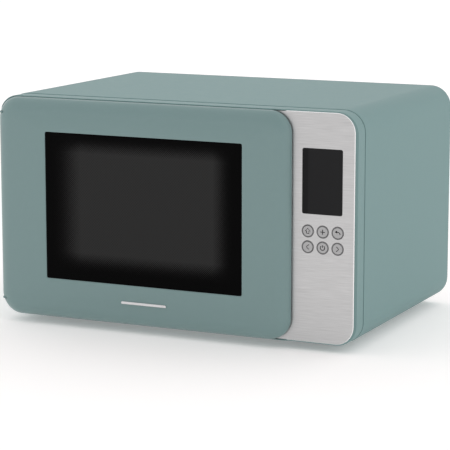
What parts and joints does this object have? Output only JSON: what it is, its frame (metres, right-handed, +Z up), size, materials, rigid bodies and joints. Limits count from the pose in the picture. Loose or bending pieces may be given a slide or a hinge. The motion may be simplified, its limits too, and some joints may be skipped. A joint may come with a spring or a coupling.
{
  "type": "microwave oven",
  "caption": "Countertop microwave oven with rounded casing, side-hinged window door, brushed control panel with round buttons, and a glass turntable in its cavity.",
  "frame": {"origin": "on the surface the oven stands on, under the middle of its bounding box", "axes": "+X to the right as the user faces the door, +Y from the door to the back, +Z up"},
  "size_m": [0.5, 0.356, 0.298],
  "materials": {
    "door_paint": "satin lacquer over moulded plastic, soft grey green",
    "cover_paint": "satin powder coat, soft grey green",
    "frame_paint": "satin lacquer over moulded plastic, soft grey green",
    "brushed_panel": "brushed across, polished bevel",
    "bright_trim": "polished",
    "dark_glass": "tinted, printed border",
    "clear_glass": "clear",
    "display_black": "polished dark lens",
    "black_plastic": "fine spark texture",
    "collar_grey": "satin dark grey",
    "cap_metal": "brushed",
    "screen_steel": "black enamel, perforated",
    "galvanised": "galvanised, spangled",
    "cavity_enamel": "light grey enamel",
    "zinc_screw": "zinc plated",
    "rubber": "matt",
    "mica": "mica sheet",
    "nylon_white": "moulded nylon",
    "circuit_green": "solder mask over glass fibre",
    "copper": "enamelled wire",
    "laminate": "laminated core, varnished",
    "aluminium": "mill finish",
    "spring_steel": "bright drawn wire",
    "lamp_glass": "clear bulb"
  },
  "bodies": {
    "casing": {"front_frame": "frame_paint", "control_housing": "frame_paint", "outer_cover": "cover_paint", "base_plate": "galvanised", "feet": "rubber", "rear_panel": "galvanised", "rear_screws": "zinc_screw", "cord_gland": "black_plastic", "control_fascia": "brushed_panel", "display_glass": "display_black", "display_module": "black_plastic", "button_collars": "collar_grey", "control_board": "circuit_green", "tact_switches": "black_plastic", "cavity_box": "cavity_enamel", "feed_cover": "mica", "waveguide": "galvanised", "magnetron": "galvanised", "magnetron_fins": "aluminium", "transformer_core": "laminate", "transformer_windings": "copper", "capacitor": "aluminium", "capacitor_clip": "galvanised", "rectifier_diode": "black_plastic", "filter_board": "circuit_green", "fan_shroud": "black_plastic", "fan_motor": "laminate", "lamp_holder": "nylon_white", "lamp": "lamp_glass", "thermal_cutout": "nylon_white", "turntable_motor": "galvanised", "hinge_top": "frame_paint", "hinge_bottom": "frame_paint", "interlock_bracket": "nylon_white", "interlock_switches": "black_plastic"},
    "door": {"door_frame": "door_paint", "door_glass": "dark_glass", "door_trim_bar": "bright_trim", "door_pan": "screen_steel", "door_screen": "screen_steel", "choke_cover": "black_plastic", "door_inner_glass": "clear_glass", "door_liner": "black_plastic", "latch_spring": "spring_steel"},
    "latch": {"latch_bar": "nylon_white"},
    "fan": {"fan_blades": "black_plastic"},
    "turntable": {"turntable_hub": "nylon_white"},
    "tray": {"glass_tray": "clear_glass"},
    "roller": {"roller_ring": "nylon_white"},
    "wheel_1": {"roller_wheel_1": "nylon_white"},
    "wheel_2": {"roller_wheel_2": "nylon_white"},
    "wheel_3": {"roller_wheel_3": "nylon_white"},
    "plunger_lower": {"switch_plunger_lower": "nylon_white"},
    "plunger_upper": {"switch_plunger_upper": "nylon_white"},
    "key_home": {"button_home": "cap_metal"},
    "key_plus": {"button_plus": "cap_metal"},
    "key_back": {"button_back": "cap_metal"},
    "key_previous": {"button_previous": "cap_metal"},
    "key_power": {"button_power": "cap_metal"},
    "key_next": {"button_next": "cap_metal"}
  },
  "joints": [
    {"name": "door_hinge", "type": "hinge", "parent": "casing", "child": "door", "pos_m": [-0.241, -0.1685, 0.1535], "axis": [0, 0, -1], "range_deg": [0, 95]},
    {"name": "latch_lift", "type": "slide", "parent": "door", "child": "latch", "axis": [0, 0, 1], "range_m": [0, 0.004], "stiffness_N_per_m": 300, "springref_m": -0.004, "deforming": ["latch_spring"]},
    {"name": "fan_spin", "type": "hinge", "parent": "casing", "child": "fan", "pos_m": [0.184, 0.155, 0.15], "axis": [0, 1, 0], "continuous": true},
    {"name": "turntable_spin", "type": "hinge", "parent": "casing", "child": "turntable", "pos_m": [-0.037, 0.0023, 0.055], "axis": [0, 0, 1], "continuous": true},
    {"name": "tray_lift", "type": "slide", "parent": "turntable", "child": "tray", "axis": [0, 0, 1], "range_m": [0, 0.025]},
    {"name": "roller_spin", "type": "hinge", "parent": "casing", "child": "roller", "pos_m": [-0.037, 0.0023, 0.0528], "axis": [0, 0, 1], "continuous": true},
    {"name": "wheel_1_spin", "type": "hinge", "parent": "roller", "child": "wheel_1", "pos_m": [0.059, 0.0023, 0.0528], "axis": [1, 0, 0], "continuous": true},
    {"name": "wheel_2_spin", "type": "hinge", "parent": "roller", "child": "wheel_2", "pos_m": [-0.085, 0.08544, 0.0528], "axis": [-0.5, 0.866, 0], "continuous": true},
    {"name": "wheel_3_spin", "type": "hinge", "parent": "roller", "child": "wheel_3", "pos_m": [-0.085, -0.08084, 0.0528], "axis": [-0.5, -0.866, 0], "continuous": true},
    {"name": "press_home", "type": "slide", "parent": "casing", "child": "key_home", "axis": [0, 1, 0], "range_m": [0, 0.0012], "stiffness_N_per_m": 600, "springref_m": -0.0006},
    {"name": "press_plus", "type": "slide", "parent": "casing", "child": "key_plus", "axis": [0, 1, 0], "range_m": [0, 0.0012], "stiffness_N_per_m": 600, "springref_m": -0.0006},
    {"name": "press_back", "type": "slide", "parent": "casing", "child": "key_back", "axis": [0, 1, 0], "range_m": [0, 0.0012], "stiffness_N_per_m": 600, "springref_m": -0.0006},
    {"name": "press_previous", "type": "slide", "parent": "casing", "child": "key_previous", "axis": [0, 1, 0], "range_m": [0, 0.0012], "stiffness_N_per_m": 600, "springref_m": -0.0006},
    {"name": "press_power", "type": "slide", "parent": "casing", "child": "key_power", "axis": [0, 1, 0], "range_m": [0, 0.0012], "stiffness_N_per_m": 600, "springref_m": -0.0006},
    {"name": "press_next", "type": "slide", "parent": "casing", "child": "key_next", "axis": [0, 1, 0], "range_m": [0, 0.0012], "stiffness_N_per_m": 600, "springref_m": -0.0006},
    {"name": "plunger_lower_push", "type": "slide", "parent": "casing", "child": "plunger_lower", "axis": [0, 1, 0], "range_m": [0, 0.0015], "stiffness_N_per_m": 200, "springref_m": -0.001},
    {"name": "plunger_upper_push", "type": "slide", "parent": "casing", "child": "plunger_upper", "axis": [0, 1, 0], "range_m": [0, 0.0015], "stiffness_N_per_m": 200, "springref_m": -0.001}
  ],
  "couplings": [
    {"joint": "roller_spin", "follows": "turntable_spin", "ratio": 0.5},
    {"joint": "wheel_1_spin", "follows": "turntable_spin", "ratio": -6.4},
    {"joint": "wheel_2_spin", "follows": "turntable_spin", "ratio": -6.4},
    {"joint": "wheel_3_spin", "follows": "turntable_spin", "ratio": -6.4}
  ]
}
